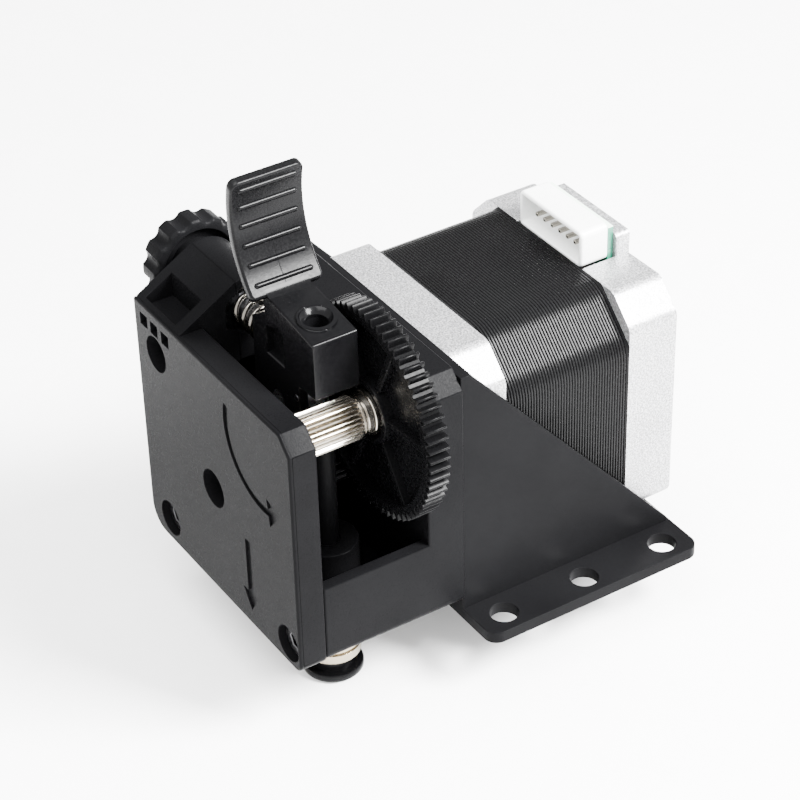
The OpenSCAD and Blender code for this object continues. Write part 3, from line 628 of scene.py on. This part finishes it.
def build_idler():
    front_y, back_y, block_x, tip_x, shoulder_z = 9.2, 16.4, 2.2, 16.0, 21.2
    # Edges this near to the filament's path are the inlet hole's
    inlet_reach = 3.0
    # The pad is a piece of its own, so it is cut off the arm
    above = ((-12, 5, 32.46), (5, 20, 52))
    before = ((-12, 5, 30.6), (20, front_y - 0.1, 52))
    behind = ((-12, back_y + 0.1, 30.6), (20, 21, 52))
    bm = cad_mesh_without("idler_arm", [above, before, behind])

    def is_block_edge(m, e):
        """Long edges of the block's front, and of its tip, that aren't upright."""
        upright = abs(e.verts[0].co.z - e.verts[1].co.z) > 0.8 * e.calc_length()
        return m.z > shoulder_z and e.calc_length() > 2.5 and not upright \
            and (m.x > block_x and m.y < front_y or near(m.x, tip_x, 0.1))

    bevel(bm, 0.35, is_block_edge, 4)
    bevel(bm, 0.1, lambda m, e: e.calc_length() > 0.1
          and math.hypot(m.x - PATH_X, m.y - PATH_Y) > inlet_reach, least_angle=40)
    piece(bm, "idler_block", "idler", "black_gloss_moulding", ["idler_arm"])

    # Shallow cone of the inlet, square to the block's sloping top
    slope, top_z = math.radians(6.7), 31.2
    cone = [(0.62, 2.5), (0.6, 2.44), (-0.12, 1.74), (-0.2, 1.68), (-1.0, 1.68), (-1.0, 2.6), (0.3, 2.8)]
    bm = lathe_z(cone, 0, 0, 72)
    for v in bm.verts:
        x, y, z = v.co
        v.co = (PATH_X + x * math.cos(slope) + z * math.sin(slope), PATH_Y + y,
                top_z + z * math.cos(slope) - x * math.sin(slope))
    piece(fix_normals(bm), "inlet_cone", "idler", "black_gloss_moulding", sharp=30)

    # Cove between the block's top and the pad
    section = bezier((4.5, 32.34), (3.4, 32.45), (2.75, 33.35), 8) + [(2.3, 33.2), (2.6, 32.0), (4.5, 32.0)]
    piece(loft([[(x, y, z) for x, z in section] for y in (front_y, back_y)]), "pad_root", "idler",
          "black_gloss_moulding", sharp=50)

    # End of the small pin in the front cheek
    profile = [(8.98, 0.02), (8.98, 0.42), (9.03, 0.5), (9.12, 0.55), (10.6, 0.55), (10.6, 0.02)]
    piece(lathe_y(profile, 10.6, 19.0, 24), "pin_end", "idler", "steel", ["cheek_pin"], MAT["dark_steel"])


def build_pad():
    """The curved thumb pad, about an axis along Y, with rounded edges and six ribs."""
    cx, cz, inner_r, thick, half = 15.1, 44.4, 16.6, 1.6, 6.0
    top, end = math.radians(162), math.radians(225.5)
    # Radii of the long edges, and of the corners at the top and at the bottom
    edge_r, top_corner, bottom_corner = 0.42, 1.3, 0.9
    length = (end - top) * inner_r
    near_top = [0, 0.02, 0.08, 0.18, 0.32, edge_r, 0.6, 0.8, 1.05, 1.2]
    near_end = [0, 0.02, 0.08, 0.18, 0.32, edge_r, 0.6, 0.8, 1.0]
    spacing = 0.45
    between = [top_corner + spacing * k for k in range(37)]
    marks = sorted(set(near_top + between + [length - s for s in near_end]))

    def inset(s, r):
        return r - math.sqrt(max(0.0, r * r - (r - s) ** 2)) if s < r else 0.0

    rows = []
    for s in marks:
        if not 0 <= s <= length:
            continue
        a = top + s / inner_r
        w = half - max(inset(s, top_corner), inset(length - s, bottom_corner))
        d = max(inset(s, edge_r), inset(length - s, edge_r))
        lo, hi = inner_r + d, inner_r + thick - d
        ring = pad_ring(lo, hi, w, min(edge_r, (hi - lo) / 2))
        rows.append([(cx + rho * math.cos(a), PATH_Y + y, cz + rho * math.sin(a)) for rho, y in ring])
    piece(loft(rows), "thumb_pad", "idler", "black_gloss_moulding", (), MAT["pad_moulding"], 50)
    rib_at, first_rib, rib_pitch, ribs = inner_r + 0.06, 5.5, 10.3, 6
    for i in range(ribs):
        a = top + math.radians(first_rib + rib_pitch * i)
        build_rib(f"pad_rib_{i + 1}", cx + rib_at * math.cos(a), cz + rib_at * math.sin(a))


def pad_ring(lo, hi, w, k):
    """Rounded rectangle of (radius, y) points with corner radius k, and a mould line on the inner face."""
    pts = []
    centres = ((hi - k, w - k), (lo + k, w - k), (lo + k, -w + k), (hi - k, -w + k))
    for quarter, (rho, y) in enumerate(centres):
        for j in range(6):
            b = math.pi / 2 * (quarter + j / 5)
            pts.append((rho + k * math.cos(b), y + k * math.sin(b)))
        if quarter == 1:
            pts += [(lo, 0.07), (lo + 0.05, 0.0), (lo, -0.07)]
    return pts


def build_rib(name, x, z):
    """A straight rib with ball ends, along Y."""
    r, half, sides, tip_r, steps = 0.44, 4.9, 20, 0.02, 6
    angles = [math.pi / 2 * k / steps for k in range(1, steps + 1)]
    ball = [(-half + r * (1 - math.cos(b)), r * math.sin(b)) for b in angles]
    stations = [(-half, tip_r)] + ball + [(-y, q) for y, q in reversed(ball)] + [(half, tip_r)]
    rows = [[(x + u, PATH_Y + y, z + v) for u, v in circle(q, sides)] for y, q in stations]
    piece(loft(rows), name, "idler", "black_gloss_moulding", sharp=60)


# ---------------------------------------------------------------- drive

def build_hob():
    """The hob with its shaft, from the front: the toothed part, then collars, seats and grooves."""
    teeth = 30
    # One tooth space, as (share of the pitch, share of the depth), with its depth
    notch = ((0.0, 1.0), (0.1, 0.72), (0.22, 0.3), (0.36, 0.05), (0.5, 0.0), (0.64, 0.05), (0.78, 0.3),
             (0.9, 0.72))
    deep = 0.74
    # (y, radius) or (y, radius, tooth depth)
    steps = ((2.3, 2.25), (2.5, 2.5), (5.3, 2.5), (5.32, 3.02), (5.45, 3.2, 0.1), (5.75, 3.47, 0.5),
             (6.0, HOB_R, deep), (15.2, HOB_R, deep), (15.45, 3.46, 0.6), (15.7, 3.2, 0.12), (15.72, 2.95),
             (15.9, 2.95), (15.92, 3.1), (15.98, 3.18), (16.2, 3.18), (16.26, 3.1), (16.28, 2.98),
             (16.42, 2.98), (16.44, 3.15), (16.52, 3.24), (17.3, 3.24), (17.38, 3.16), (17.4, 3.0),
             (17.44, 3.0), (17.45, 3.38), (17.55, 3.45), (18.35, 3.45), (18.47, 3.38), (18.5, 3.1),
             (18.9, 3.1), (18.95, 3.38), (21.3, 3.4), (21.4, 3.3), (21.42, 2.5), (26.4, 2.5), (26.6, 2.3))

    def ring(y, r, depth=0.0):
        pts = []
        for i in range(teeth):
            for phase, share in notch:
                a = turn(i + phase, teeth)
                tooth_r = r - depth * share
                pts.append((HOB_X + tooth_r * math.cos(a), y, HOB_Z + tooth_r * math.sin(a)))
        return pts

    piece(loft([ring(*step) for step in steps]), "hob_roller", "drive", "nickel", ["hob_shaft"], sharp=28)


def build_gears():
    # The web and rim lie inside the first radius, and the teeth outside the second
    rim_r, root_r = 15.2, 15.4

    def from_hob(m):
        return math.hypot(m.x - HOB_X, m.z - HOB_Z)

    bm = cad_mesh("driven_gear")
    bevel(bm, 0.07, lambda m, e: from_hob(m) > root_r, 1, least_angle=30)
    bevel(bm, 0.12, lambda m, e: from_hob(m) < rim_r and e.calc_length() > 0.15, 2, least_angle=40)
    piece(bm, "gear_wheel", "drive", "black_moulding", ["driven_gear"], MAT["gear_moulding"])
    bm = cad_mesh("pinion_gear")
    bevel(bm, 0.1, lambda m, e: e.calc_length() > 0.2 and m.y > 21, 2, least_angle=40)
    # The pinion takes dark_steel in place of its steel slot: its steel is darkened as painted shade, for
    # the shadow it lies in between the guide tube and the gear web.
    piece(bm, "pinion", "rotor", "steel", ["pinion_gear"], MAT["dark_steel"])


# ---------------------------------------------------------------- small parts

def build_outlet():
    """The push-in fitting and its release collet, as (z, radius) sections."""
    fitting = [(-29.3, 3.95), (-29.27, 4.2), (-29.15, 4.42), (-28.95, 4.5), (-27.66, 4.5), (-27.6, 4.44),
               (-27.55, 4.17), (-27.15, 4.17), (-27.1, 4.44), (-27.04, 4.5), (-19.9, 4.5), (-19.6, 4.35),
               (-19.55, 4.0), (-19.55, 3.7), (-15.6, 3.7), (-15.5, 3.6), (-15.5, 1.06), (-17.0, 1.06),
               (-17.0, 2.05), (-23.4, 2.05), (-23.4, 3.5), (-29.2, 3.5), (-29.3, 3.58)]
    piece(lathe_z(fitting, PATH_X, PATH_Y, 96), "fitting_body", "frame", "plated_brass", ["outlet_fitting"],
          sharp=35)
    collet = [(-32.7, 2.2), (-32.7, 4.35), (-32.62, 4.65), (-32.4, 4.8), (-31.65, 4.8), (-31.43, 4.65),
              (-31.35, 4.35), (-31.35, 3.45), (-31.3, 3.42), (-24.45, 3.42), (-24.4, 3.36), (-24.4, 2.05),
              (-32.5, 2.05)]
    piece(lathe_z(collet, PATH_X, PATH_Y, 96), "collet_ring", "collet", "black_gloss_moulding",
          ["release_collet"], sharp=35)


def build_guide():
    bm = cad_mesh("filament_guide")
    bevel(bm, 0.1, lambda m, e: e.calc_length() > 0.2, 2, least_angle=50)
    piece(bm, "guide_tube", "frame", "black_moulding", ["filament_guide"])


def build_screws():
    # The heads lie in front of the first place along Y, or behind the second
    front_heads_y, back_heads_y = 26.5, 60
    for name, shown in (("cover_screws", "cover_bolts"), ("housing_screws", "housing_bolt"),
                        ("motor_screws", "motor_bolts")):
        bm = cad_mesh(name)
        bevel(bm, 0.16, lambda m, e: e.calc_length() > 0.05
              and (m.y < front_heads_y or m.y > back_heads_y), 2, least_angle=50)
        piece(bm, shown, "frame", "steel", [name], material=MAT["dark_steel"])


def build_bearings():
    """The idler's bearing, with its two races and the shield between them."""
    bearing_r, half_width, gap_to_hob = 5.0, 2, 1.55
    x = HOB_X - HOB_R - gap_to_hob - bearing_r
    # Half of the section, as (depth from the face, radius)
    half = [(0.0, 1.53), (0.0, 2.25), (0.08, 2.36), (0.25, 2.4), (0.25, 4.1), (0.08, 4.14), (0.0, 4.25),
            (0.0, 4.82), (0.05, 4.95), (0.18, bearing_r)]
    profile = [(PATH_Y - half_width + d, r) for d, r in half] \
        + [(PATH_Y + half_width - d, r) for d, r in reversed(half)]
    piece(lathe_y(profile, x, HOB_Z, 96), "roller_bearing", "idler_roller", "steel", ["idler_bearing"],
          sharp=30)


def build_connector():
    half_x, z0, z1, corner, least_corner = 8.2, 20.7, 27.0, 1.0, 0.35
    # The CAD board's back face, and where it is moved so that it meets the plug
    board_y, shown_y = 65.7, 66.3

    def ring(y, inset):
        r = max(corner - inset, least_corner)
        hx, lo, hi = half_x - inset - r, z0 + inset + r, z1 - inset - r
        pts = []
        for quarter, (cx, cz) in enumerate(((hx, hi), (-hx, hi), (-hx, lo), (hx, lo))):
            for k in range(7):
                a = math.radians(90 * quarter + 15 * k)
                pts.append((cx + r * math.cos(a), y, cz + r * math.sin(a)))
        return pts

    # (y, inset), from the back, round the front rim and down into the cavity
    steps = ((66.2, 0.15), (66.05, 0.0), (61.65, 0.0), (61.4, 0.06), (61.2, 0.28), (61.2, 0.6),
             (61.3, 0.72), (61.5, 0.78), (63.9, 0.85), (64.2, 1.1))
    piece(loft([ring(*step) for step in steps]), "plug_socket", "frame", "white_nylon", ["motor_connector"],
          sharp=50)
    bm = cad_mesh("motor_circuit_board")
    for v in bm.verts:
        if near(v.co.y, board_y):
            v.co.y = shown_y
    piece(bm, "circuit_board", "frame", "board", ["motor_circuit_board"])
    bm = cad_mesh("connector_pins")
    bevel(bm, 0.1, lambda m, e: e.calc_length() > 0.5, 2)
    piece(bm, "plug_pins", "frame", "nickel", ["connector_pins"])


for build in (build_cover, build_housing, build_bracket, build_caps, build_stack, build_knob, build_spring,
              build_idler, build_pad, build_hob, build_gears, build_outlet, build_guide, build_screws,
              build_bearings, build_connector):
    build()

# ---------------------------------------------------------------- stage, light and camera

# The floor lies this far under the lowest point, and reaches this far from the middle, in metres
FLOOR_GAP, FLOOR_REACH = 0.0002, 3.0
floor_z = cad_box[0].z - FLOOR_GAP
floor_mesh = bpy.data.meshes.new("floor")
CORNER_SIGNS = ((-1, -1), (1, -1), (1, 1), (-1, 1))
floor_corners = [(FLOOR_REACH * x, FLOOR_REACH * y, floor_z) for x, y in CORNER_SIGNS]
floor_mesh.from_pydata(floor_corners, [], [(0, 1, 2, 3)])
floor = bpy.data.objects.new("floor", floor_mesh)
bpy.context.scene.collection.objects.link(floor)
floor.data.materials.append(grained("floor", (0.9, 0.9, 0.9), (0.93, 0.93, 0.93), 0.7, 0.05, 300, 0.0,
                                    specular=0.1))

world = bpy.data.worlds.new("studio")
bpy.context.scene.world = world
world.use_nodes = True
wt = world.node_tree
sky = wt.nodes["Background"]
sky.inputs["Color"].default_value = (1, 1, 1, 1)
direction = wt.nodes.new("ShaderNodeTexCoord").outputs["Generated"]
toward = wt.nodes.new("ShaderNodeVectorMath")
toward.operation = "DOT_PRODUCT"
wt.links.new(direction, toward.inputs[0])
# The part of the sky behind the motor is dimmer, so that level faces stay dark
DIM_SKY = (-0.693, 0.431, 0.577)
BRIGHT, DIM = 4.3, 1.5
DIM_FROM, DIM_TO = 0.2, 0.9
toward.inputs[1].default_value = DIM_SKY
wt.links.new(map_range(wt, toward.outputs["Value"], DIM_FROM, DIM_TO, BRIGHT, DIM), sky.inputs["Strength"])


def area_light(name, place, aim, size, power):
    data = bpy.data.lights.new(name, "AREA")
    data.shape = "RECTANGLE"
    data.size, data.size_y = size
    data.energy = power
    lamp = bpy.data.objects.new(name, data)
    bpy.context.scene.collection.objects.link(lamp)
    lamp.location = place
    lamp.rotation_euler = (Vector(aim) - Vector(place)).to_track_quat("-Z", "Y").to_euler()


HEART = Vector((0.0, -0.01, 0.03))
area_light("key", HEART + 0.55 * Vector((0.577, 0.431, 0.693)), HEART, (0.22, 0.22), 36)
area_light("top", HEART + 0.8 * Vector((0.1, -0.25, 0.96)), HEART, (0.5, 0.5), 16)

# The camera's turn from the front toward +X, its height angle and its roll, then its distance in metres
AZIMUTH = math.radians(58.11)
ELEVATION = math.radians(35.25)
ROLL = math.radians(-1.57)
AIM = at(21.16, 20.0, 20.44)
DISTANCE = 0.3737
SENSOR_MM, LENS_MM = 36, 118.08
back = Vector((math.sin(AZIMUTH) * math.cos(ELEVATION), -math.cos(AZIMUTH) * math.cos(ELEVATION),
               math.sin(ELEVATION)))
right = Vector((math.cos(AZIMUTH), math.sin(AZIMUTH), 0))
up = back.cross(right)
cam_x = right * math.cos(ROLL) + up * math.sin(ROLL)
cam_y = up * math.cos(ROLL) - right * math.sin(ROLL)
cam_data = bpy.data.cameras.new("camera")
cam_data.sensor_width = SENSOR_MM
cam_data.lens = LENS_MM
cam_data.clip_start = 0.01
camera = bpy.data.objects.new("camera", cam_data)
bpy.context.scene.collection.objects.link(camera)
axes = Matrix((cam_x, cam_y, back)).transposed().to_4x4()
camera.matrix_world = Matrix.Translation(AIM + back * DISTANCE) @ axes
bpy.context.scene.camera = camera
